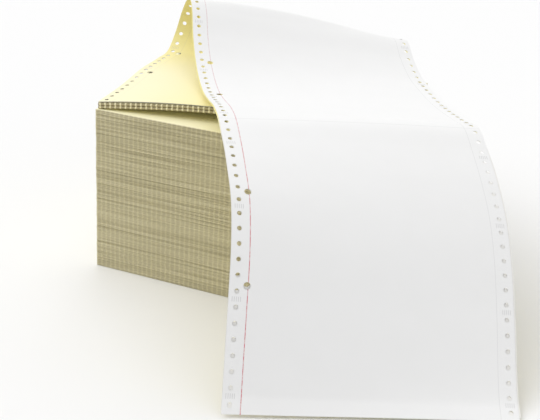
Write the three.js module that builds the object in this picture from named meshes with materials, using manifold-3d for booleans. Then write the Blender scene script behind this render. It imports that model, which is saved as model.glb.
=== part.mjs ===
// Fanfold continuous form paper: two-part sets, a white sheet over a yellow copy sheet, folded
// zigzag into a pack. The top three forms are drawn out: the first lies yellow side up on the pack
// and lifts at the back, the second turns over the crest and crosses the pack's front corner, and
// the third hangs down to the ground.
// Millimetres, +Z up, front folds towards -Y, origin at the centre of the pack's underside.
import * as THREE from "three";
import { mergeVertices } from "three/addons/utils/BufferGeometryUtils.js";
import Module from "manifold-3d";

// The form.
const PITCH = 12.7; // from one sprocket hole to the next
const HOLES_PER_FORM = 22; // in each margin, between two folds
const FORM_WIDTH = 240;
const FORM_LENGTH = PITCH * HOLES_PER_FORM;
const SPROCKET_D = 4;
const SPROCKET_INSET = 6.35; // hole centre to the paper's edge
const FILING_D = 6;
const FILING_INSET = 14.3; // left margin only
const FILING_SPACING = 80; // two holes, centred on the form's length

// The drawn-out set: two plies with a little air between them.
const PLY = 0.25;
const PLY_GAP = 0.3;
const REST_GAP = 0.3; // between what lies and what it lies on
const FORMS_OUT = 3;

// The folded pack: a main stack, and the bundle on top that was pulled askew.
const STACK_HEIGHT = 163.5;
const STACK_LAYERS = 40; // fold noses up the front
const BUNDLE_HEIGHT = 6.2;
const BUNDLE_LAYERS = 3;
const BUNDLE_TURN = 9.6; // degrees, about the front left corner
const BUNDLE_SHIFT = 2; // of that corner, inwards both ways
const NOSE_DEPTH = 0.9; // of the grooves between the fold noses

const PACK_TOP = STACK_HEIGHT + REST_GAP + BUNDLE_HEIGHT;
const SEAT = REST_GAP + PLY + PLY_GAP / 2; // middle of the set above what carries it

// The way of the drawn-out forms, in the bundle's frame. Each line is one place along the left
// edge: the length of paper so far, then x and y, all in hundredths of a form; the height in
// hundredths of the pack's; the direction across the paper, as degrees round from +X and degrees
// up; and how far the middle bows back and up, in millimetres.
const WAY = [
  [0, 0, 0, 100, 0, 0, 0, 0],
  [20, 0, 20, 101, 0, -0.2, 0, 0],
  [40, 0, 40, 103.6, 0, -1.2, 0, -1],
  [58, 0, 58, 103.7, 0, -1.3, 0, -2],
  [66, 0.4, 66, 105, 0, -1.9, 0, -3],
  [75, 1.1, 72.6, 115, 1.7, -5.9, 3, -9],
  [84, 3.7, 72.5, 129, 8, -11.6, 12, -9],
  [93, 7.7, 66.8, 138.7, 18.6, -13.9, 12, 3],
  [100, 11.1, 61.1, 141.4, 27, -12.1, 3, 8], // the crest, where the first form ends
  [107, 14, 55.2, 138.2, 28, -8.6, 0, 0],
  [120.5, 18.4, 44.6, 126.2, 27, -6.8, 0, 0],
  [134, 23.4, 33.4, 116, 26.4, -5.1, 0, 1],
  [148, 29, 21.5, 110.3, 26.1, -3.6, 0, 1],
  [161, 34.9, 9.3, 108.6, 26.1, -3.1, 0, 0],
  [175, 40.9, -2.9, 110.7, 26.1, -3.4, 0, 0],
  [189, 47, -15, 113.3, 26, -3.7, 0, -1],
  [200, 51.9, -25.2, 112.9, 26, -3.1, 0, 1], // the fold between the second and third forms
  [211, 56.6, -35.1, 108.2, 26.4, -4.2, 0, 1],
  [225, 62, -46.9, 101.2, 26.9, -5.4, 0, 0],
  [238.6, 67.1, -58, 91.3, 27.5, -6.5, 1, -1],
  [252, 70.3, -66.7, 75.2, 27.1, -6.2, 0, 0],
  [270.5, 72.4, -74.7, 48.2, 24.9, -4.8, -1, 0],
  [293, 74, -82.3, 12.8, 20.7, -2.6, -1, 0],
  [296, 74.2, -83.5, 8, 20, -1.6, -1, 0],
  [300, 74.8, -86, 0.8, 18.5, -0.3, 0, 0], // the end, on the ground
];

const wasm = await Module();
wasm.setup();

// A geometry as a closed solid with shared vertices.
function solidOf(geometry) {
  const bare = geometry.clone();
  bare.deleteAttribute("normal");
  bare.deleteAttribute("uv");
  const merged = mergeVertices(bare, 1e-4);
  return new wasm.Manifold(
    new wasm.Mesh({
      numProp: 3,
      vertProperties: merged.attributes.position.array,
      triVerts: new Uint32Array(merged.index.array),
    }),
  );
}

function geometryOf(solid) {
  const mesh = solid.getMesh();
  const geometry = new THREE.BufferGeometry();
  geometry.setAttribute("position", new THREE.BufferAttribute(mesh.vertProperties, 3));
  geometry.setIndex(new THREE.BufferAttribute(mesh.triVerts, 1));
  geometry.computeVertexNormals();
  return geometry;
}

// Where the holes of one form are: distance across from the left edge, distance from the fold,
// diameter and number of sides.
function formHoles() {
  const holes = [];
  for (let k = 0; k < HOLES_PER_FORM; k++) {
    for (const across of [SPROCKET_INSET, FORM_WIDTH - SPROCKET_INSET]) {
      holes.push([across, (k + 0.5) * PITCH, SPROCKET_D, 6]);
    }
  }
  for (const side of [-1, 1]) {
    holes.push([FILING_INSET, (FORM_LENGTH + side * FILING_SPACING) / 2, FILING_D, 8]);
  }
  return holes;
}

// A stack of folded forms from z = base up, its front folds on y = 0: rounded noses up the front,
// and half a step higher up the back, where the same sheets fold the other way.
function foldedStack(base, height, layers) {
  const step = height / layers;
  const back = FORM_LENGTH;
  const section = new THREE.Shape();
  section.moveTo(NOSE_DEPTH, base);
  section.lineTo(back - NOSE_DEPTH, base);
  section.quadraticCurveTo(back, base, back, base + step / 4);
  section.quadraticCurveTo(back, base + step / 2, back - NOSE_DEPTH, base + step / 2);
  for (let i = 0; i < layers - 1; i++) {
    const z = base + (i + 0.5) * step;
    section.quadraticCurveTo(back + NOSE_DEPTH, z + step / 2, back - NOSE_DEPTH, z + step);
  }
  section.quadraticCurveTo(back, base + height - step / 2, back, base + height - step / 4);
  section.quadraticCurveTo(back, base + height, back - NOSE_DEPTH, base + height);
  section.lineTo(NOSE_DEPTH, base + height);
  for (let i = layers; i > 0; i--) {
    const z = base + i * step;
    section.quadraticCurveTo(-NOSE_DEPTH, z - step / 2, NOSE_DEPTH, z - step);
  }
  const geometry = new THREE.ExtrudeGeometry(section, {
    depth: FORM_WIDTH,
    bevelEnabled: false,
    curveSegments: 3,
  });
  // The section's x runs back, its y runs up, and the extrusion runs across.
  geometry.applyMatrix4(
    new THREE.Matrix4().makeBasis(
      new THREE.Vector3(0, 1, 0),
      new THREE.Vector3(0, 0, 1),
      new THREE.Vector3(1, 0, 0),
    ),
  );
  const cutters = formHoles().map(([across, along, diameter, sides]) => {
    const drill = new THREE.CylinderGeometry(diameter / 2, diameter / 2, height + 2, sides);
    drill.rotateX(Math.PI / 2);
    drill.translate(across, along, base + height / 2);
    return solidOf(drill);
  });
  return geometryOf(wasm.Manifold.difference([solidOf(geometry), ...cutters]));
}

const wayCurve = new THREE.CubicInterpolant(
  WAY.map((place) => place[0]),
  WAY.flatMap((place) => place.slice(1)),
  7,
);

// A point of the drawn-out set's middle surface: `across` from the left edge, `along` from the
// pack's front fold, both in millimetres.
function middlePoint(across, along) {
  const [x, y, height, round, up, bowBack, bowUp] = wayCurve.evaluate((along / FORM_LENGTH) * 100);
  const turn = THREE.MathUtils.degToRad(round);
  const rise = THREE.MathUtils.degToRad(up);
  const bow = Math.hypot(bowBack, bowUp);
  // A bowed line of the same length ends a little nearer.
  const share = (across / FORM_WIDTH) * (1 - ((8 / 3) * bow * bow) / (FORM_WIDTH * FORM_WIDTH));
  const reach = FORM_WIDTH * share;
  const middle = 4 * (across / FORM_WIDTH) * (1 - across / FORM_WIDTH);
  const point = new THREE.Vector3(
    (x / 100) * FORM_LENGTH + reach * Math.cos(turn) * Math.cos(rise),
    (y / 100) * FORM_LENGTH + reach * Math.sin(turn) * Math.cos(rise) + bowBack * middle,
    (height / 100) * PACK_TOP + SEAT + reach * Math.sin(rise) + bowUp * middle,
  );
  if (along < FORM_LENGTH) point.z = Math.max(point.z, PACK_TOP + SEAT); // it lies on the pack
  return point;
}

// The normal on the white side.
function whiteNormal(across, along) {
  const d = PITCH / 8;
  const end = FORMS_OUT * FORM_LENGTH;
  const a = middlePoint(Math.max(across - d, 0), along);
  const b = middlePoint(Math.min(across + d, FORM_WIDTH), along);
  const c = middlePoint(across, Math.max(along - d, 0));
  const e = middlePoint(across, Math.min(along + d, end));
  return e.sub(c).cross(b.sub(a)).normalize();
}

function setPoint(across, along, offset) {
  return middlePoint(across, along).addScaledVector(whiteNormal(across, along), offset);
}

// One ply as a closed sheet between two offsets from the middle of the set, then drilled.
const COLUMNS = 4;
function ply(low, high) {
  const rows = FORMS_OUT * HOLES_PER_FORM;
  const positions = [];
  for (const offset of [low, high]) {
    for (let r = 0; r <= rows; r++) {
      for (let c = 0; c <= COLUMNS; c++) {
        positions.push(...setPoint((c / COLUMNS) * FORM_WIDTH, r * PITCH, offset).toArray());
      }
    }
  }
  const side = (rows + 1) * (COLUMNS + 1);
  const at = (r, c, top) => r * (COLUMNS + 1) + c + (top ? side : 0);
  const index = [];
  const quad = (a, b, c, d) => index.push(a, b, c, a, c, d);
  for (let r = 0; r < rows; r++) {
    for (let c = 0; c < COLUMNS; c++) {
      quad(at(r, c, 1), at(r + 1, c, 1), at(r + 1, c + 1, 1), at(r, c + 1, 1));
      quad(at(r, c, 0), at(r, c + 1, 0), at(r + 1, c + 1, 0), at(r + 1, c, 0));
    }
    quad(at(r, 0, 0), at(r + 1, 0, 0), at(r + 1, 0, 1), at(r, 0, 1));
    quad(at(r, COLUMNS, 1), at(r + 1, COLUMNS, 1), at(r + 1, COLUMNS, 0), at(r, COLUMNS, 0));
  }
  for (let c = 0; c < COLUMNS; c++) {
    quad(at(0, c, 0), at(0, c, 1), at(0, c + 1, 1), at(0, c + 1, 0));
    quad(at(rows, c, 1), at(rows, c, 0), at(rows, c + 1, 0), at(rows, c + 1, 1));
  }
  const sheet = new THREE.BufferGeometry();
  sheet.setAttribute("position", new THREE.Float32BufferAttribute(positions, 3));
  sheet.setIndex(index);
  const drills = [];
  for (let form = 0; form < FORMS_OUT; form++) {
    for (const [across, within, diameter, sides] of formHoles()) {
      const along = form * FORM_LENGTH + within;
      const drill = new THREE.CylinderGeometry(diameter / 2, diameter / 2, 8 * PLY, sides);
      const normal = whiteNormal(across, along);
      drill.applyQuaternion(
        new THREE.Quaternion().setFromUnitVectors(new THREE.Vector3(0, 1, 0), normal),
      );
      const centre = setPoint(across, along, (low + high) / 2);
      drill.translate(centre.x, centre.y, centre.z);
      drills.push(solidOf(drill));
    }
  }
  return geometryOf(wasm.Manifold.difference([solidOf(sheet), ...drills]));
}

const paper = (name, geometry, color) => {
  const material = new THREE.MeshStandardMaterial({ color, roughness: 0.85, metalness: 0 });
  material.side = THREE.DoubleSide;
  const mesh = new THREE.Mesh(geometry, material);
  mesh.name = name;
  return mesh;
};

const fanfold = new THREE.Group();
const stack = paper("main_stack", foldedStack(0, STACK_HEIGHT, STACK_LAYERS), 0xe9e2b4);
stack.position.set(-FORM_WIDTH / 2, -FORM_LENGTH / 2, 0);
fanfold.add(stack);

// The bundle and the forms drawn out of it, turned about its front left corner.
const turned = new THREE.Group();
turned.position.set(BUNDLE_SHIFT - FORM_WIDTH / 2, BUNDLE_SHIFT - FORM_LENGTH / 2, 0);
turned.rotation.z = THREE.MathUtils.degToRad(BUNDLE_TURN);
const bundleGeometry = foldedStack(STACK_HEIGHT + REST_GAP, BUNDLE_HEIGHT, BUNDLE_LAYERS);
turned.add(paper("pulled_bundle", bundleGeometry, 0xe9e2b4));
turned.add(paper("white_ply", ply(PLY_GAP / 2, PLY_GAP / 2 + PLY), 0xf6f5f2));
turned.add(paper("yellow_ply", ply(-PLY_GAP / 2 - PLY, -PLY_GAP / 2), 0xf3e9a6));
fanfold.add(turned);

export default fanfold;
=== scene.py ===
"""Fanfold continuous form paper in a plain studio: a pack of two-part forms, a white sheet over a
yellow copy sheet, with the top three forms drawn out over the pack's front corner.

Lengths are in millimetres while a shape is worked out, and in metres in every mesh. The row frame
has its origin at the centre of the stack's underside, front folds towards -Y.
"""

import math
import random

import bpy
import numpy as np
from mathutils import Matrix, Vector, geometry


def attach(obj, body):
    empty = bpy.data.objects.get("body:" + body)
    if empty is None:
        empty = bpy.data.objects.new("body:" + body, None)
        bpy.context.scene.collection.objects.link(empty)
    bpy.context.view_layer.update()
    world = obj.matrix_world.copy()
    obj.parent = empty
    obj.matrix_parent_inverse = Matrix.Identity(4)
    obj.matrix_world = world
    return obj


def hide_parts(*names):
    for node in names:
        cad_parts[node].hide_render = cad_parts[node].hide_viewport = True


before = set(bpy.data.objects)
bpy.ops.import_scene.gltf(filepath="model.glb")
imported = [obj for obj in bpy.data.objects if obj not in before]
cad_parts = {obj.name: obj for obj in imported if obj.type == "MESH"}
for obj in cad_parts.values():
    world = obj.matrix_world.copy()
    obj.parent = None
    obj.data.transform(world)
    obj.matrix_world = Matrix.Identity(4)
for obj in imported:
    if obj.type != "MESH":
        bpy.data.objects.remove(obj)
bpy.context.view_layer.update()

MM = 0.001

# The form.
PITCH = 12.7
HOLES_PER_FORM = 22
FORM_WIDTH = 240.0
FORM_LENGTH = PITCH * HOLES_PER_FORM
FORMS_OUT = 3
SPROCKET_D = 4.0
SPROCKET_INSET = 6.35
FILING_D = 6.0
FILING_INSET = 14.3
FILING_SPACING = 80.0
MARGIN = 15.0  # width of the strip that tears off at each side

# The pack: its stack, and the bundle on top that was pulled askew.
STACK_HEIGHT = 163.5
BUNDLE_HEIGHT = 6.2
REST_GAP = 0.3  # between what lies and what it lies on
BUNDLE_TURN = math.radians(9.6)
BUNDLE_SHIFT = 2.0
BUNDLE_BASE = STACK_HEIGHT + REST_GAP
PACK_TOP = BUNDLE_BASE + BUNDLE_HEIGHT
BUNDLE_RISE = 9.6  # how far the bundle arches up across its width
BUNDLE_ARCH = 288.0  # the arch's span from the left edge, so the right edge stays a little up

# The drawn-out plies.
PLY = 0.12
PLY_GAP = 0.3
SEAT = 0.7  # middle of the set above what carries it
CLEAR = 0.3  # least height above the ground
FLARE = 0.3  # how fast the last pitch of paper moves out, as a share of its length
FLARE_WAY = (0.27, -0.96, 0.0)
SLOPE_STEP = 1.5  # how far to each side of a point its surface's slope is taken
FREE_FROM = (0.95, 1.2)  # where the paper starts to hang free, and does so fully, in forms
# Waves of free paper: height, lengths down and across it and their phase, and the length and
# phase of the swell across it that they fade in and out with.
LONG_WAVES = (0.45, 41.0, 95.0, 0.6, 70.0, 0.4)
SHORT_WAVES = (0.16, 17.0, -33.0, 0.0, 29.0, 1.3)

# How the yellow copy lies off the white sheet, and where each slip starts and is whole, in forms
# down the way or in millimetres across it.
COPY_LEFT = 1.0  # slip to the left, in the second form
COPY_LEFT_FROM = (0.95, 1.15)
COPY_RIGHT = 2.4  # slip to the right, in the third
COPY_RIGHT_FROM = (1.95, 2.2)
COPY_RIGHT_LEAST = 0.3  # the share of it that the left edge has
COPY_UP = 3.0  # pulled up there, so that the copy shows in the white sheet's holes
COPY_UP_ACROSS = (120.0, 200.0)  # at the right first
COPY_UP_RIGHT_FROM = (2.05, 2.3)
COPY_UP_FROM = (2.55, 2.7)  # then all across
COPY_APART = 5.0  # hang of its middle, low in the third form
COPY_APART_FROM = (2.2, 2.6)
COPY_CLOSED_FROM = (2.75, 3.0)

# The meshes' fineness.
COLUMNS_PER_PITCH = 5  # in the margins
SHEET_ROWS = 5  # to a pitch
SHEET_COLUMNS = 50  # between the margins
SHEET_HOLE_SIDES = 20
SHEET_SHARP = 60.0  # degrees above which an edge stays sharp
BLOCK_ROWS = 4
BLOCK_COLUMNS = 24
BLOCK_HOLE_SIDES = 12
BLOCK_SHARP = 50.0

# The way of the drawn-out forms in the bundle's frame: the length of paper so far along the left
# edge, its x and y, all in hundredths of a form; its height in hundredths of the pack's; the
# direction across the paper, in degrees round from +X and degrees up; and how far the middle
# bows back and up, in millimetres.
WAY = [
    (-20, 0, -20, 99, 0, 1.1, 0, 7),  # gives the curve its direction at the start
    (0, 0, 0, 100, 0, 1.1, 0, 7),
    (20, 0, 20, 101, 0, 0.5, 0, 5.5),
    (40, 0, 40, 103.6, 0, -0.6, 0, 3.5),
    (58, 0, 58, 103.7, 0, -0.6, 0, 3.5),
    (66, 0.4, 66, 105, 0, -1.2, 0, 2),
    (75, 1.1, 72.6, 115, 1.7, -5.1, 3, -6.5),
    (84, 3.7, 72.5, 129, 8, -10.8, 12, -9.5),
    (93, 7.7, 66.8, 138.7, 18.6, -12.8, 12, 1),
    (100, 11.1, 61.1, 141.4, 27, -12.1, 3, 8),
    (107, 14, 55.2, 138.2, 28, -8.6, 0, 0),
    (120.5, 18.4, 44.6, 126.2, 27, -6.8, 0, 0),
    (134, 23.4, 33.4, 116, 26.4, -5, 0, 1),
    (148, 29, 21.5, 110.3, 26.1, -3.4, 0, 1),
    (161, 34.9, 9.3, 108.8, 26.1, -3, 0, 0.5),
    (175, 40.9, -2.9, 110.7, 26.1, -3.4, 0, 0),
    (189, 47, -15, 113.3, 26, -3.7, 0, -1),
    (200, 51.9, -25.2, 112.9, 26, -3.1, 0, 1),
    (211, 56.6, -35.1, 108.2, 26.4, -4.2, 0, 1),
    (225, 62, -46.9, 101.2, 26.9, -5.4, 0, 0),
    (238.6, 67.1, -58, 91.3, 27.5, -6.5, 1, -1),
    (252, 70.3, -66.7, 75.2, 27.1, -6.2, 0, 0),
    (270.5, 72.4, -74.7, 48.2, 24.9, -4.8, -1, 0),
    (293, 74, -82.2, 12.9, 20.7, -2.6, -1, 0),
    (300, 74.4, -84.3, 1.5, 18.5, -0.5, 0, 0),
    (307, 74.8, -86.4, -10, 16.3, 1.6, 0, 0),  # gives the curve its direction at the end
]
WAY_AT = np.array([place[0] for place in WAY], float)
WAY_IS = np.array([place[1:] for place in WAY], float)

# The camera, from the photograph's perspective.
CAMERA_AT = (0.5157, -1.0953, 0.5088)
CAMERA_DOWN = math.radians(21.24)
CAMERA_LEFT = math.radians(25.01)
CAMERA_ROLL = math.radians(2.58)
CAMERA_LENS = 82.07
SENSOR_WIDTH = 36.0


# Meshes


def add_piece(name, points, faces, materials, face_material=None, attributes=None):
    """A new object from points in millimetres, with its faces' materials and point attributes."""
    mesh = bpy.data.meshes.new(name)
    mesh.from_pydata((np.asarray(points) * MM).tolist(), [], faces)
    for material in materials:
        mesh.materials.append(material)
    if face_material is not None:
        mesh.polygons.foreach_set("material_index", face_material)
    for title, values in (attributes or {}).items():
        values = np.asarray(values, float)
        kind = "FLOAT" if values.ndim == 1 else "FLOAT_VECTOR"
        layer = mesh.attributes.new(title, kind, "POINT")
        layer.data.foreach_set("value" if values.ndim == 1 else "vector", values.ravel())
    mesh.update()
    piece = bpy.data.objects.new(name, mesh)
    bpy.context.scene.collection.objects.link(piece)
    return piece


def smooth(piece, sharp_above):
    """Smooth shading, but for edges sharper than the angle in degrees."""
    piece.data.polygons.foreach_set("use_smooth", [True] * len(piece.data.polygons))
    piece.data.set_sharp_from_angle(angle=math.radians(sharp_above))


# The form's plan, flat: across from the left edge, along from the fold


def form_holes():
    """Each hole of one form: across, along, radius."""
    holes = []
    for k in range(HOLES_PER_FORM):
        for across in (SPROCKET_INSET, FORM_WIDTH - SPROCKET_INSET):
            holes.append((across, (k + 0.5) * PITCH, SPROCKET_D / 2))
    for side in (-1, 1):
        holes.append((FILING_INSET, (FORM_LENGTH + side * FILING_SPACING) / 2, FILING_D / 2))
    return holes


def strip_with_holes(columns, rows, holes, sides):
    """Triangles over a strip between its first and last column, less the holes."""
    clear = 0.5  # between a grid point and a hole's rim
    weld = 1e-5
    points = [
        (a, s)
        for a in columns
        for s in rows
        if all(math.hypot(a - x, s - y) > r + clear for x, y, r in holes)
    ]
    edges = []
    for x, y, r in holes:
        first = len(points)
        for k in range(sides):
            turn = math.tau * k / sides
            points.append((x + r * math.cos(turn), y + r * math.sin(turn)))
            edges.append((first + k, first + (k + 1) % sides))
    found = geometry.delaunay_2d_cdt([Vector(p) for p in points], edges, [], 0, weld)
    points = [tuple(p) for p in found[0]]
    faces = []
    for face in found[2]:
        x = sum(points[i][0] for i in face) / len(face)
        y = sum(points[i][1] for i in face) / len(face)
        if all(math.hypot(x - a, y - b) > r * math.cos(math.pi / sides) for a, b, r in holes):
            faces.append(face)
    return points, faces


def form_plan(forms, rows_per_pitch, middle_columns, sides):
    """Points and faces of several forms in a row, with every hole cut out."""
    steps = HOLES_PER_FORM * rows_per_pitch
    rows = np.linspace(0, FORM_LENGTH, steps + 1).tolist()
    margin = [PITCH * k / COLUMNS_PER_PITCH for k in range(COLUMNS_PER_PITCH + 1)]
    left = margin + [PITCH * 1.25, PITCH * 1.5]  # reaches past the filing holes
    right = [FORM_WIDTH - PITCH + a for a in margin]
    middle = np.linspace(left[-1], right[0], middle_columns + 1).tolist()
    holes = form_holes()
    strips = [
        strip_with_holes(left, rows, [h for h in holes if h[0] < left[-1]], sides),
        strip_with_holes(right, rows, [h for h in holes if h[0] > right[0]], sides),
    ]
    grid = [(a, s) for s in rows for a in middle]
    wide = middle_columns + 1
    quads = [
        (r * wide + c, r * wide + c + 1, (r + 1) * wide + c + 1, (r + 1) * wide + c)
        for r in range(steps)
        for c in range(middle_columns)
    ]
    strips.append((grid, quads))
    places = {}
    points = []
    faces = []
    for form in range(forms):
        for strip_points, strip_faces in strips:
            ids = []
            for a, s in strip_points:
                key = (round(a, 3), round(s + form * FORM_LENGTH, 3))
                if key not in places:
                    places[key] = len(points)
                    points.append(key)
                ids.append(places[key])
            faces.extend(tuple(ids[i] for i in face) for face in strip_faces)
    return np.array(points), faces


def rim_edges(faces):
    """The directed edges that only one face has: the outline and the holes' rims."""
    seen = set()
    for face in faces:
        for a, b in zip(face, face[1:] + face[:1]):
            seen.add((a, b))
    return [(a, b) for a, b in seen if (b, a) not in seen]


# The drawn-out set's surface


def way(percent):
    """The way's values at each length along it, by the same cubic as the solids'."""
    t = np.clip(percent, 0, 100 * FORMS_OUT)
    i = np.clip(np.searchsorted(WAY_AT, t, side="right"), 1, len(WAY_AT) - 1)
    t0, t1 = WAY_AT[i - 1], WAY_AT[i]
    has_before = i >= 2
    has_after = i + 1 < len(WAY_AT)
    before = np.where(has_before, i - 2, i)
    after = np.where(has_after, np.minimum(i + 1, len(WAY_AT) - 1), i - 1)
    t_before = np.where(has_before, WAY_AT[before], 2 * t0 - t1)
    t_after = np.where(has_after, WAY_AT[after], 2 * t1 - t0)
    half = (t1 - t0) / 2
    wp = half / (t0 - t_before)
    wn = half / (t_after - t1)
    p = (t - t0) / (t1 - t0)
    sp = -wp * p**3 + 2 * wp * p**2 - wp * p
    s0 = (1 + wp) * p**3 + (-1.5 - 2 * wp) * p**2 + (-0.5 + wp) * p + 1
    s1 = (-1 - wn) * p**3 + (1.5 + wn) * p**2 + 0.5 * p
    sn = wn * p**3 - wn * p**2
    return (
        sp[:, None] * WAY_IS[before]
        + s0[:, None] * WAY_IS[i - 1]
        + s1[:, None] * WAY_IS[i]
        + sn[:, None] * WAY_IS[after]
    ).T


def bundle_rise(across):
    """How far the bundle is above where it would lie flat, at a distance from its left edge."""
    return BUNDLE_RISE * np.sin(math.pi * np.clip(across, 0, BUNDLE_ARCH) / BUNDLE_ARCH)


def fade(values, start, end):
    """0 up to start and 1 from end on, smooth between."""
    t = np.clip((values - start) / (end - start), 0, 1)
    return t * t * (3 - 2 * t)


def wave(across, along, height, down, sideways, phase, swell, swell_phase):
    """A wave down and across the paper, which swells and fades across it."""
    ripple = np.sin(along / down + across / sideways + phase)
    return height * ripple * np.sin(across / swell + swell_phase)


def waves(across, along):
    """The shallow unevenness of paper that hangs free, in millimetres."""
    free = fade(along / FORM_LENGTH, *FREE_FROM)
    return free * (wave(across, along, *LONG_WAVES) + wave(across, along, *SHORT_WAVES))


def middle_surface(across, along):
    """Points of the set's middle surface in the bundle's frame."""
    x, y, height, turn, rise, bow_back, bow_up = way(100 * along / FORM_LENGTH)
    turn, rise = np.radians(turn), np.radians(rise)
    # A bowed line reaches less far than a straight one of its length, as a parabola's arc tells.
    bow = np.hypot(bow_back, bow_up)
    reach = across * (1 - 8 / 3 * (bow / FORM_WIDTH) ** 2)
    middle = 4 * (across / FORM_WIDTH) * (1 - across / FORM_WIDTH)  # 1 there, 0 at the edges
    points = np.stack(
        [
            x / 100 * FORM_LENGTH + reach * np.cos(turn) * np.cos(rise),
            y / 100 * FORM_LENGTH + reach * np.sin(turn) * np.cos(rise) + bow_back * middle,
            height / 100 * PACK_TOP + SEAT + reach * np.sin(rise) + bow_up * middle,
        ],
        axis=1,
    )
    # The paper's end flares out on the ground, from its last line of holes on.
    flare = FLARE * np.maximum(along - (FORMS_OUT * FORM_LENGTH - PITCH), 0)
    points += flare[:, None] * np.array(FLARE_WAY)
    points[:, 1] -= waves(across, along)
    # The first form lies on the bundle.
    floor = np.where(along < FORM_LENGTH, PACK_TOP + bundle_rise(points[:, 0]) + SEAT, -np.inf)
    points[:, 2] = np.maximum(points[:, 2], floor)
    return points


def white_normals(across, along):
    """Unit normals of the middle surface, on the white sheet's side."""
    step = SLOPE_STEP
    end = FORMS_OUT * FORM_LENGTH
    over = middle_surface(np.minimum(across + step, FORM_WIDTH), along)
    over -= middle_surface(np.maximum(across - step, 0), along)
    down = middle_surface(across, np.minimum(along + step, end))
    down -= middle_surface(across, np.maximum(along - step, 0))
    normals = np.cross(down, over)
    return normals / np.linalg.norm(normals, axis=1)[:, None]


def to_row_frame(points):
    """From the bundle's turned frame to the row frame."""
    c, s = math.cos(BUNDLE_TURN), math.sin(BUNDLE_TURN)
    x = points[:, 0] * c - points[:, 1] * s + BUNDLE_SHIFT - FORM_WIDTH / 2
    y = points[:, 0] * s + points[:, 1] * c + BUNDLE_SHIFT - FORM_LENGTH / 2
    return np.stack([x, y, points[:, 2]], axis=1)


def copy_slips(across, along):
    """How far the copy has slipped aside and up, and how far it hangs off the white sheet."""
    forms_down = along / FORM_LENGTH
    by_edge = COPY_RIGHT_LEAST + (1 - COPY_RIGHT_LEAST) * across / FORM_WIDTH
    aside = COPY_RIGHT * by_edge * fade(forms_down, *COPY_RIGHT_FROM)
    aside -= COPY_LEFT * fade(forms_down, *COPY_LEFT_FROM)
    at_right = fade(across, *COPY_UP_ACROSS) * fade(forms_down, *COPY_UP_RIGHT_FROM)
    pulled = COPY_UP * np.maximum(at_right, fade(forms_down, *COPY_UP_FROM))
    hang = COPY_APART * np.sin(math.pi * across / FORM_WIDTH)
    hang *= fade(forms_down, *COPY_APART_FROM) * (1 - fade(forms_down, *COPY_CLOSED_FROM))
    return aside, pulled, hang


def make_ply(name, node, material, offset, slip=0.0):
    """One ply of the drawn-out set: a closed sheet with its real holes. `offset` is from the
    set's middle, and `slip` is the share of the copy's slips that the ply has."""
    plan, faces = form_plan(FORMS_OUT, SHEET_ROWS, SHEET_COLUMNS, SHEET_HOLE_SIDES)
    across, along = plan[:, 0], plan[:, 1]
    aside, pulled, hang = copy_slips(across, along)
    middle = middle_surface(across + slip * aside, along - slip * pulled)
    normals = white_normals(across, along)
    off_middle = (offset - slip * hang)[:, None]
    low = to_row_frame(middle + normals * off_middle)
    high = to_row_frame(middle + normals * (off_middle + PLY))
    low[:, 2] = np.maximum(low[:, 2], CLEAR)
    high[:, 2] = np.maximum(high[:, 2], CLEAR)
    count = len(plan)
    both = [tuple(reversed(face)) for face in faces]
    both = [tuple(i + count for i in face) for face in both] + faces
    walls = [(b, a, a + count, b + count) for a, b in rim_edges(faces)]
    # On a ply, the third number of a place is 1 on the face that turns to the white sheet's side.
    low_place = np.stack([across, along, np.zeros(count)], axis=1)
    high_place = np.stack([across, along, np.ones(count)], axis=1)
    piece = add_piece(
        name,
        np.concatenate([low, high]),
        both + walls,
        [material],
        attributes={"place": np.concatenate([low_place, high_place])},
    )
    smooth(piece, SHEET_SHARP)
    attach(piece, "root")
    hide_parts(node)
    return piece


# The pack


# The outline of one layer's fold, upwards: the share of its height, how far out it is, and how
# much it belongs to the crest, which the fold's colour paints lighter as painted light.
STACK_FOLD = ((0.5, 0.0, 1.0), (1.0, -0.8, 0.0))
BUNDLE_FOLD = ((0.12, -0.45, 0.4), (0.35, 0.0, 1.0), (0.65, 0.0, 1.0), (0.88, -0.45, 0.4),
               (1.0, -1.1, 0.0))
STACK_LAYERS = 150
BUNDLE_LAYERS = 2
STACK_SEED = 3
BUNDLE_SEED = 5

# The kinds of a block's faces, in the order of its materials.
LEVEL, FOLDED, CUT_SIDE, HOLE_WALL = range(4)

# How uneven the layers are: their heights, and how far they stand out of line.
LAYER_SHARE = (0.7, 1.3)
CUT_DRIFT = 0.12  # from one layer's cut edge to the next, either way
CUT_MEMORY = 0.85  # the share of the drift so far that a layer keeps
CUT_ROUGHNESS = 0.12
FOLD_NUDGE = (-0.15, 0.2)
FOLD_SWING = 0.12  # of a fold's line, either way
FOLD_SWINGS = 1.5  # to a form's width


def outward(places, end):
    """-1 at the start of a side, 1 at its end and 0 between."""
    near = 1e-6
    return np.where(places < near, -1.0, np.where(places > end - near, 1.0, 0.0))


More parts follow.
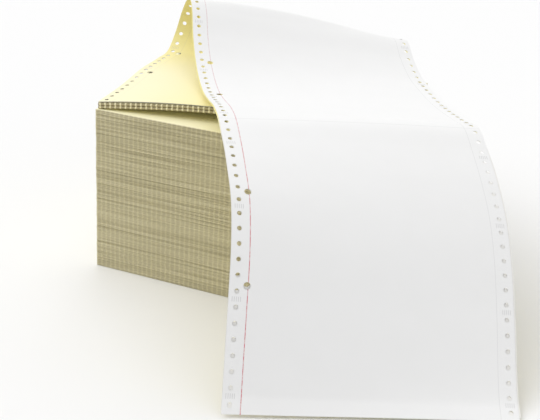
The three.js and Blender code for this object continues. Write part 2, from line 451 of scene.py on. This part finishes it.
def make_block(name, base, height, layers, fold, seed, materials, turned):
    """A block of folded forms: folds at the front and back, cut edges at the sides, its holes
    running through, and every layer a little out of line with the next."""
    draw = random.Random(seed)
    plan, faces = form_plan(1, BLOCK_ROWS, BLOCK_COLUMNS, BLOCK_HOLE_SIDES)
    outline = rim_edges(faces)
    follows = dict(outline)
    lookup = {(round(a, 3), round(s, 3)): i for i, (a, s) in enumerate(plan)}
    ring = [lookup[(0.0, 0.0)]]
    while follows[ring[-1]] != ring[0]:
        ring.append(follows[ring[-1]])
    ring = np.array(ring)
    across, along = plan[ring, 0], plan[ring, 1]
    out_x = outward(across, FORM_WIDTH)
    out_y = outward(along, FORM_LENGTH)
    # Heights of the layers, uneven, and how far each stands out at the folds and cut edges.
    share = np.array([draw.uniform(*LAYER_SHARE) for _ in range(layers)])
    tops = base + height * np.cumsum(share) / share.sum()
    levels = [base]
    crests = [0.0]
    fold_out = [fold[-1][1]]
    cut_out = [0.0]
    drift = 0.0
    for k in range(layers):
        low = levels[-1]
        drift = CUT_MEMORY * drift + draw.uniform(-CUT_DRIFT, CUT_DRIFT)
        nudge = draw.uniform(*FOLD_NUDGE)
        for part, out, is_crest in fold:
            levels.append(low + part * (tops[k] - low))
            crests.append(is_crest)
            fold_out.append(out + nudge)
            cut_out.append(drift - draw.uniform(0.0, CUT_ROUGHNESS))
    levels[-1] = base + height
    points = []
    place = []
    crest = []
    for z, c, folded, cut in zip(levels, crests, fold_out, cut_out):
        phase = draw.uniform(0, math.tau)
        swing = FOLD_SWING * np.sin(across / FORM_WIDTH * math.tau * FOLD_SWINGS + phase)
        x = across + out_x * cut
        y = along + out_y * (folded + swing)
        points.append(np.stack([x, y, np.full(len(ring), z)], axis=1))
        place.append(np.stack([across, along, np.full(len(ring), z)], axis=1))
        crest.append(np.full(len(ring), c))
    count = len(ring)
    rings = len(levels)
    points = np.concatenate(points)
    place = np.concatenate(place)
    crest = np.concatenate(crest)
    block_faces = []
    kinds = []
    for r in range(rings - 1):
        for k in range(count):
            n = (k + 1) % count
            block_faces.append(
                (r * count + k, r * count + n, (r + 1) * count + n, (r + 1) * count + k)
            )
            at_side = out_x[k] != 0 and out_x[k] == out_x[n]
            kinds.append(CUT_SIDE if at_side else FOLDED)
    # The faces above and below, welded to the first and last rings.
    inner = np.setdiff1d(np.arange(len(plan)), ring)
    for level, flip in ((0, True), (rings - 1, False)):
        z = levels[level]
        ids = np.zeros(len(plan), int)
        ids[ring] = level * count + np.arange(count)
        ids[inner] = len(points) + np.arange(len(inner))
        spot = np.stack([plan[inner, 0], plan[inner, 1], np.full(len(inner), z)], axis=1)
        points = np.concatenate([points, spot])
        place = np.concatenate([place, spot])
        crest = np.concatenate([crest, np.ones(len(inner))])
        for face in faces:
            made = tuple(int(ids[i]) for i in face)
            block_faces.append(tuple(reversed(made)) if flip else made)
            kinds.append(LEVEL)
        if level == 0:
            bottom_ids = ids
        else:
            top_ids = ids
    on_ring = set(ring.tolist())
    for a, b in outline:
        if a in on_ring and b in on_ring:
            continue
        block_faces.append(
            (int(bottom_ids[a]), int(bottom_ids[b]), int(top_ids[b]), int(top_ids[a]))
        )
        kinds.append(HOLE_WALL)
    if turned:
        points[:, 2] += bundle_rise(points[:, 0])
        points = to_row_frame(points)
    else:
        points = points - np.array([FORM_WIDTH / 2, FORM_LENGTH / 2, 0])
    piece = add_piece(
        name,
        points,
        block_faces,
        materials,
        face_material=kinds,
        attributes={"place": place, "crest": crest},
    )
    smooth(piece, BLOCK_SHARP)
    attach(piece, "root")
    return piece


# Materials

PAPER_ROUGHNESS = 0.75
PAPER_SPECULAR = 0.25


class Nodes:
    """A material's node tree, with short ways to add the nodes that the papers share."""

    def __init__(self, name):
        self.material = bpy.data.materials.new(name)
        self.material.use_nodes = True
        self.tree = self.material.node_tree
        self.shader = self.tree.nodes["Principled BSDF"]
        self.shader.inputs["Roughness"].default_value = PAPER_ROUGHNESS
        self.shader.inputs["Specular IOR Level"].default_value = PAPER_SPECULAR

    def link(self, value, socket):
        if isinstance(value, bpy.types.NodeSocket):
            self.tree.links.new(value, socket)
        else:
            socket.default_value = value

    def attribute(self, name):
        node = self.tree.nodes.new("ShaderNodeAttribute")
        node.attribute_name = name
        return node

    def axes(self, name):
        node = self.tree.nodes.new("ShaderNodeSeparateXYZ")
        self.link(self.attribute(name).outputs["Vector"], node.inputs[0])
        return node.outputs

    def math(self, operation, a, b=0.0, c=0.0):
        node = self.tree.nodes.new("ShaderNodeMath")
        node.operation = operation
        for value, socket in zip((a, b, c), node.inputs):
            self.link(value, socket)
        return node.outputs[0]

    def noise(self, vector, scale, detail=2.0, stretch=None):
        node = self.tree.nodes.new("ShaderNodeTexNoise")
        node.inputs["Scale"].default_value = scale
        node.inputs["Detail"].default_value = detail
        if stretch:
            scaled = self.tree.nodes.new("ShaderNodeVectorMath")
            scaled.operation = "MULTIPLY"
            self.link(vector, scaled.inputs[0])
            scaled.inputs[1].default_value = stretch
            vector = scaled.outputs[0]
        self.link(vector, node.inputs["Vector"])
        return node.outputs["Fac"]

    def mix(self, factor, a, b):
        node = self.tree.nodes.new("ShaderNodeMix")
        node.data_type = "RGBA"
        self.link(factor, node.inputs[0])
        for value, socket in ((a, node.inputs[6]), (b, node.inputs[7])):
            self.link(value if isinstance(value, bpy.types.NodeSocket) else (*value, 1), socket)
        return node.outputs[2]

    def ramp(self, value, start, end, low=0.0, high=1.0):
        """From low at start to high at end, smooth, and level beyond."""
        node = self.tree.nodes.new("ShaderNodeMapRange")
        node.interpolation_type = "SMOOTHSTEP"
        for title, number in (("Value", value), ("From Min", start), ("From Max", end),
                              ("To Min", low), ("To Max", high)):
            self.link(number, node.inputs[title])
        return node.outputs[0]

    def band(self, value, centre, half_width, soft=0.1):
        """1 where the value is within half_width of the centre, 0 outside."""
        away = self.math("ABSOLUTE", self.math("SUBTRACT", value, centre))
        return self.ramp(away, half_width - soft, half_width + soft, 1.0, 0.0)

    def bump(self, height, strength, distance):
        node = self.tree.nodes.new("ShaderNodeBump")
        node.inputs["Strength"].default_value = strength
        node.inputs["Distance"].default_value = distance
        self.link(height, node.inputs["Height"])
        self.link(node.outputs[0], self.shader.inputs["Normal"])

    def colour(self, value):
        self.link(value, self.shader.inputs["Base Color"])


WHITE = (0.86, 0.86, 0.86)
WHITE_SHADE = (0.83, 0.83, 0.825)
YELLOW = (0.90, 0.82, 0.38)
YELLOW_SHADE = (0.88, 0.79, 0.33)
# A pale yellow: the painted sheen on the copy's first form, and the top sheet's mottling.
SHEEN_AND_MOTTLE_YELLOW = (0.91, 0.86, 0.60)
# The blocks' top sheet is painted lighter than the copy's yellow: painted light, to keep the
# stack's top bright in the bundle's shade.
LIGHTENED_TOP_YELLOW = (0.98, 0.94, 0.62)
# A nearly white grey, painted on the copy's face towards the white sheet lower down, where it
# shows through the holes.
PALE_FACE = (0.84, 0.83, 0.80)
RED_INK = (0.60, 0.06, 0.10)
PERFORATION_GREY = (0.50, 0.50, 0.50)
WHITE_MARKS = 0.6  # how strong perforations, folds and crimps are on each ply
YELLOW_MARKS = 0.5

# The ply's markings, in millimetres, and their shares of grey.
CUT_PITCH = 1.6  # of the tear-off perforations
CUT_TIE = 0.35  # the share of it that isn't cut
CUT_HALF_WIDTH = 0.18
FOLD_HALF_WIDTH = 0.3
FOLD_GREY = 0.5
CRIMP_FIRST = 3 * PITCH  # the middle of the first row of crimps, from the fold
CRIMP_REPEAT = 6 * PITCH
CRIMP_PITCH = 1.7
CRIMP_WIDTH = 8.5
CRIMP_LENGTH = 4.0
CRIMP_SLIT = 0.2  # half a slit's width, as a share of the crimps' pitch
CRIMP_GREY = 0.8
RED_LINE_AT = MARGIN + 0.3
RED_HALF_WIDTH = 0.3

# The fibres: noise scales to a millimetre, and the mottling's share of the colour's change.
CLOUD_SCALE = 0.035
FIBRE_SCALE = 1.6
FIBRE_DETAIL = 3.0
CLOUD_SHARE = 0.7
FIBRE_BUMP = (0.12, 0.0002)  # strength, and height in metres, as of every bump here


def paper_fibres(nodes, colour, shade):
    """Faint mottling in the colour, and a fibre grain in the bump."""
    place = nodes.attribute("place").outputs["Vector"]
    cloud = nodes.noise(place, CLOUD_SCALE, FIBRE_DETAIL)
    fine = nodes.noise(place, FIBRE_SCALE, FIBRE_DETAIL)
    cloud_share = nodes.math("MULTIPLY", cloud, CLOUD_SHARE)
    blend = nodes.math("ADD", cloud_share, nodes.math("MULTIPLY", fine, 1 - CLOUD_SHARE))
    nodes.bump(fine, *FIBRE_BUMP)
    return nodes.mix(blend, shade, colour)


def marks(nodes, colour, strength):
    """The perforations, folds and crimps that every ply carries."""
    across, along, _ = nodes.axes("place")
    in_form = nodes.math("FLOORED_MODULO", along, FORM_LENGTH)
    # Tear-off perforations: small cuts down both margins.
    along_cut = nodes.math("FRACT", nodes.math("DIVIDE", along, CUT_PITCH))
    cuts = nodes.math("GREATER_THAN", along_cut, CUT_TIE)
    for edge in (MARGIN, FORM_WIDTH - MARGIN):
        line = nodes.math("MULTIPLY", nodes.band(across, edge, CUT_HALF_WIDTH), cuts)
        colour = nodes.mix(nodes.math("MULTIPLY", line, strength), colour, PERFORATION_GREY)
    # Folds, perforated across.
    other_way = nodes.math("SUBTRACT", FORM_LENGTH, in_form)
    fold = nodes.band(nodes.math("MINIMUM", in_form, other_way), 0, FOLD_HALF_WIDTH)
    fold_grey = nodes.math("MULTIPLY", fold, FOLD_GREY * strength)
    colour = nodes.mix(fold_grey, colour, PERFORATION_GREY)
    # Crimps: a comb of short slits in both margins at every sixth pitch, from the third on.
    step = nodes.math("DIVIDE", nodes.math("SUBTRACT", in_form, CRIMP_FIRST), CRIMP_REPEAT)
    off = nodes.math("SUBTRACT", nodes.math("FRACT", nodes.math("ADD", step, 0.5)), 0.5)
    row = nodes.band(nodes.math("MULTIPLY", off, CRIMP_REPEAT), 0, CRIMP_LENGTH / 2)
    for centre in (SPROCKET_INSET, FORM_WIDTH - SPROCKET_INSET):
        near = nodes.band(across, centre, CRIMP_WIDTH / 2)
        start = nodes.math("SUBTRACT", across, centre - CRIMP_WIDTH / 2)
        comb = nodes.math("FRACT", nodes.math("DIVIDE", start, CRIMP_PITCH))
        in_comb = nodes.math("MULTIPLY", near, row)
        slit = nodes.math("MULTIPLY", in_comb, nodes.band(comb, 0.5, CRIMP_SLIT))
        slit_grey = nodes.math("MULTIPLY", slit, CRIMP_GREY * strength)
        colour = nodes.mix(slit_grey, colour, PERFORATION_GREY)
    return colour


# The red line's ink, uneven along it.
INK_SCALE = 0.35
INK_BREAKS = (0.35, 0.6)  # the noise below which the ink is thinnest, and above which it is whole
INK_LEAST = 0.45
INK_HIGH_UP = 0.3  # the ink's share in the first form


def white_paper():
    nodes = Nodes("white_paper")
    colour = paper_fibres(nodes, WHITE, WHITE_SHADE)
    colour = marks(nodes, colour, WHITE_MARKS)
    # The margin's red line: thin and pink high up, stronger and broken further down.
    across, along, _ = nodes.axes("place")
    place = nodes.attribute("place").outputs["Vector"]
    uneven = nodes.noise(place, INK_SCALE, stretch=(0.01, 1.0, 1.0))
    inked = nodes.ramp(uneven, *INK_BREAKS, low=INK_LEAST)
    depth = nodes.ramp(along, FORM_LENGTH, FORMS_OUT * FORM_LENGTH, low=INK_HIGH_UP)
    line = nodes.math("MULTIPLY", nodes.band(across, RED_LINE_AT, RED_HALF_WIDTH), inked)
    colour = nodes.mix(nodes.math("MULTIPLY", line, depth), colour, RED_INK)
    nodes.colour(colour)
    return nodes.material


# Where the copy's painted sheen gives way to full yellow, in millimetres from its left edge and
# its first fold, and where its face towards the white sheet gets pale, in forms: from one number
# to the other.
SHEEN_ACROSS = (10.0, 170.0)
SHEEN_ALONG = (90.0, 230.0)
PALE_FACE_FROM = (1.95, 2.1)


def yellow_paper():
    nodes = Nodes("yellow_paper")
    colour = paper_fibres(nodes, YELLOW, YELLOW_SHADE)
    # The first form has a painted sheen: it is paler towards its front left corner, where it is
    # lit brightest.
    across, along, face = nodes.axes("place")
    sheen_at_left = nodes.ramp(across, *SHEEN_ACROSS, low=1.0, high=0.0)
    sheen_at_front = nodes.ramp(along, *SHEEN_ALONG, low=1.0, high=0.0)
    colour = nodes.mix(nodes.math("MULTIPLY", sheen_at_left, sheen_at_front), colour, SHEEN_AND_MOTTLE_YELLOW)
    # Its face seen through the white sheet's holes is painted nearly white lower down.
    lower = nodes.ramp(along, *(forms * FORM_LENGTH for forms in PALE_FACE_FROM))
    colour = nodes.mix(nodes.math("MULTIPLY", face, lower), colour, PALE_FACE)
    colour = marks(nodes, colour, YELLOW_MARKS)
    nodes.colour(colour)
    return nodes.material


# The bundle's folds are painted far darker than the stack's: painted shade, besides the gaping
# cuts.
SHADED_BUNDLE_FOLDS = ((0.27, 0.22, 0.11), (0.86, 0.80, 0.52), 0.25)  # dark, light, and how uneven
STACK_FOLDS = ((0.62, 0.57, 0.39), (0.74, 0.69, 0.48), 0.7)
TIE_PITCH = 5.25  # of the ties that the fold's perforation leaves, in millimetres
TIE_HALF_WIDTH, TIE_SOFT = 0.17, 0.08  # as shares of it
TIE_LIGHT = 0.9
# How much lighter the folds' crests are painted: painted light on the crests, painted shade in
# the grooves.
CREST_PAINTED_LIGHT = 0.25
LAYER_SCALE = 0.9  # of the noise that shifts the ties from layer to layer
LAYER_STRETCH = (0.05, 0.05, 1.0)
FOLD_BUMP = (0.5, 0.0004)


def fold_faces(name, dark, light, uneven):
    """Folded edges: dark where the cuts of the fold perforation gape, light at the ties."""
    nodes = Nodes(name)
    across = nodes.axes("place")[0]
    place = nodes.attribute("place").outputs["Vector"]
    shake = nodes.noise(place, LAYER_SCALE, stretch=LAYER_STRETCH)
    steps = nodes.math("DIVIDE", across, TIE_PITCH)
    phase = nodes.math("FRACT", nodes.math("ADD", steps, nodes.math("MULTIPLY", shake, uneven)))
    tie = nodes.band(phase, 0.5, TIE_HALF_WIDTH, TIE_SOFT)
    crest = nodes.attribute("crest").outputs["Fac"]
    # Painted light and shade: the crests are painted lighter than the grooves between the layers.
    pale = nodes.math("MAXIMUM", tie, nodes.math("MULTIPLY", crest, CREST_PAINTED_LIGHT))
    nodes.colour(nodes.mix(nodes.math("MULTIPLY", pale, TIE_LIGHT), dark, light))
    nodes.bump(nodes.math("ADD", crest, tie), *FOLD_BUMP)
    return nodes.material


SIDE_EDGES = ((0.58, 0.53, 0.35), (0.85, 0.81, 0.62))  # dark, light
# The holes' walls are painted nearly black: painted shade down in the holes.
SHADED_HOLE_EDGES = ((0.07, 0.055, 0.03), (0.20, 0.17, 0.10))
# Their level lines, fine and broad: noise scales to a millimetre, and shares of the colour.
LINE_SCALE = 3.0
LINE_STRETCH = (0.01, 0.01, 1.0)
LINE_SHARE = 0.9
BROAD_SCALE = 0.3
BROAD_STRETCH = (0.02, 0.02, 1.0)
BROAD_SHARE = 0.5
EDGE_DARKER = 0.2  # taken off both
EDGE_BUMP = (0.4, 0.0003)


def cut_faces(name, dark, light):
    """Cut edges of the stacked sheets: fine level lines, white and yellow by turns."""
    nodes = Nodes(name)
    place = nodes.attribute("place").outputs["Vector"]
    lines = nodes.noise(place, LINE_SCALE, FIBRE_DETAIL, LINE_STRETCH)
    broad = nodes.noise(place, BROAD_SCALE, stretch=BROAD_STRETCH)
    line_share = nodes.math("MULTIPLY", lines, LINE_SHARE)
    blend = nodes.math("ADD", line_share, nodes.math("MULTIPLY", broad, BROAD_SHARE))
    nodes.colour(nodes.mix(nodes.math("SUBTRACT", blend, EDGE_DARKER), dark, light))
    nodes.bump(lines, *EDGE_BUMP)
    return nodes.material


def lightened_top_sheet():
    """The uppermost sheet of a block, yellow side up, painted lighter as painted light."""
    nodes = Nodes("lightened_top_sheet")
    nodes.colour(paper_fibres(nodes, LIGHTENED_TOP_YELLOW, SHEEN_AND_MOTTLE_YELLOW))
    return nodes.material


# The studio

# Each light's name, the way that it comes from, its width in degrees and its strength.
LIGHTS = [
    ("top", (-0.4, 0.5, 3.2), 60.0, 0.66),
    ("back", (-1.2, 2.8, 1.8), 40.0, 0.39),
    ("left", (-2.6, -0.4, 1.8), 40.0, 0.59),
    ("front", (-1.2, -1.8, 2.6), 45.0, 0.89),
    ("right", (2.4, -1.2, 1.6), 40.0, 0.17),
]
SKY = 0.53  # strength of the even light from all round
FLOOR_WHITE = 0.86
FLOOR_ROUGHNESS = 0.9
FLOOR_REACH = 60000.0
CAMERA_SEES = 100.0  # metres, past the floor's far edge


def add_camera():
    down, left, roll = CAMERA_DOWN, CAMERA_LEFT, CAMERA_ROLL
    forward = Vector(
        (-math.sin(left) * math.cos(down), math.cos(left) * math.cos(down), -math.sin(down))
    )
    level = Vector((math.cos(left), math.sin(left), 0))
    above = level.cross(forward)
    right = level * math.cos(roll) + above * math.sin(roll)
    up = above * math.cos(roll) - level * math.sin(roll)
    camera = bpy.data.objects.new("camera", bpy.data.cameras.new("camera"))
    bpy.context.scene.collection.objects.link(camera)
    camera.data.lens = CAMERA_LENS
    camera.data.sensor_width = SENSOR_WIDTH
    camera.data.clip_end = CAMERA_SEES
    camera.matrix_world = Matrix.Translation(CAMERA_AT) @ Matrix(
        (right, up, -forward)
    ).transposed().to_4x4()
    bpy.context.scene.camera = camera


def add_light(name, comes_from, width, strength):
    """A wide soft light from far away, as even over the floor as over the pack."""
    lamp = bpy.data.lights.new(name, "SUN")
    lamp.angle = math.radians(width)
    lamp.energy = strength
    light = bpy.data.objects.new(name, lamp)
    bpy.context.scene.collection.objects.link(light)
    light.rotation_euler = (-Vector(comes_from)).to_track_quat("-Z", "Y").to_euler()


def add_floor():
    half = FLOOR_REACH
    points = [(-half, -half, 0), (half, -half, 0), (half, half, 0), (-half, half, 0)]
    nodes = Nodes("floor")
    nodes.colour((FLOOR_WHITE, FLOOR_WHITE, FLOOR_WHITE, 1))
    nodes.shader.inputs["Roughness"].default_value = FLOOR_ROUGHNESS
    add_piece("floor", points, [(0, 1, 2, 3)], [nodes.material])


def add_studio():
    add_floor()
    for light in LIGHTS:
        add_light(*light)
    world = bpy.data.worlds.new("studio")
    world.use_nodes = True
    world.node_tree.nodes["Background"].inputs["Color"].default_value = (1, 1, 1, 1)
    world.node_tree.nodes["Background"].inputs["Strength"].default_value = SKY
    bpy.context.scene.world = world
    bpy.context.scene.view_settings.view_transform = "Standard"


add_camera()
add_studio()
sheet_top = lightened_top_sheet()
edges = [cut_faces("side_edges", *SIDE_EDGES), cut_faces("hole_edges_painted_shade", *SHADED_HOLE_EDGES)]
stack_paper = [sheet_top, fold_faces("stack_folds", *STACK_FOLDS), *edges]
stack = make_block(
    "stack", 0.0, STACK_HEIGHT, STACK_LAYERS, STACK_FOLD, STACK_SEED, stack_paper, turned=False
)
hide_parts("main_stack")
bundle_paper = [sheet_top, fold_faces("bundle_folds_painted_shade", *SHADED_BUNDLE_FOLDS), *edges]
bundle = make_block(
    "bundle", BUNDLE_BASE, BUNDLE_HEIGHT, BUNDLE_LAYERS, BUNDLE_FOLD, BUNDLE_SEED, bundle_paper,
    turned=True,
)
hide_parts("pulled_bundle")
make_ply("white_sheet", "white_ply", white_paper(), PLY_GAP / 2)
make_ply("yellow_sheet", "yellow_ply", yellow_paper(), -PLY_GAP / 2 - PLY, slip=1.0)
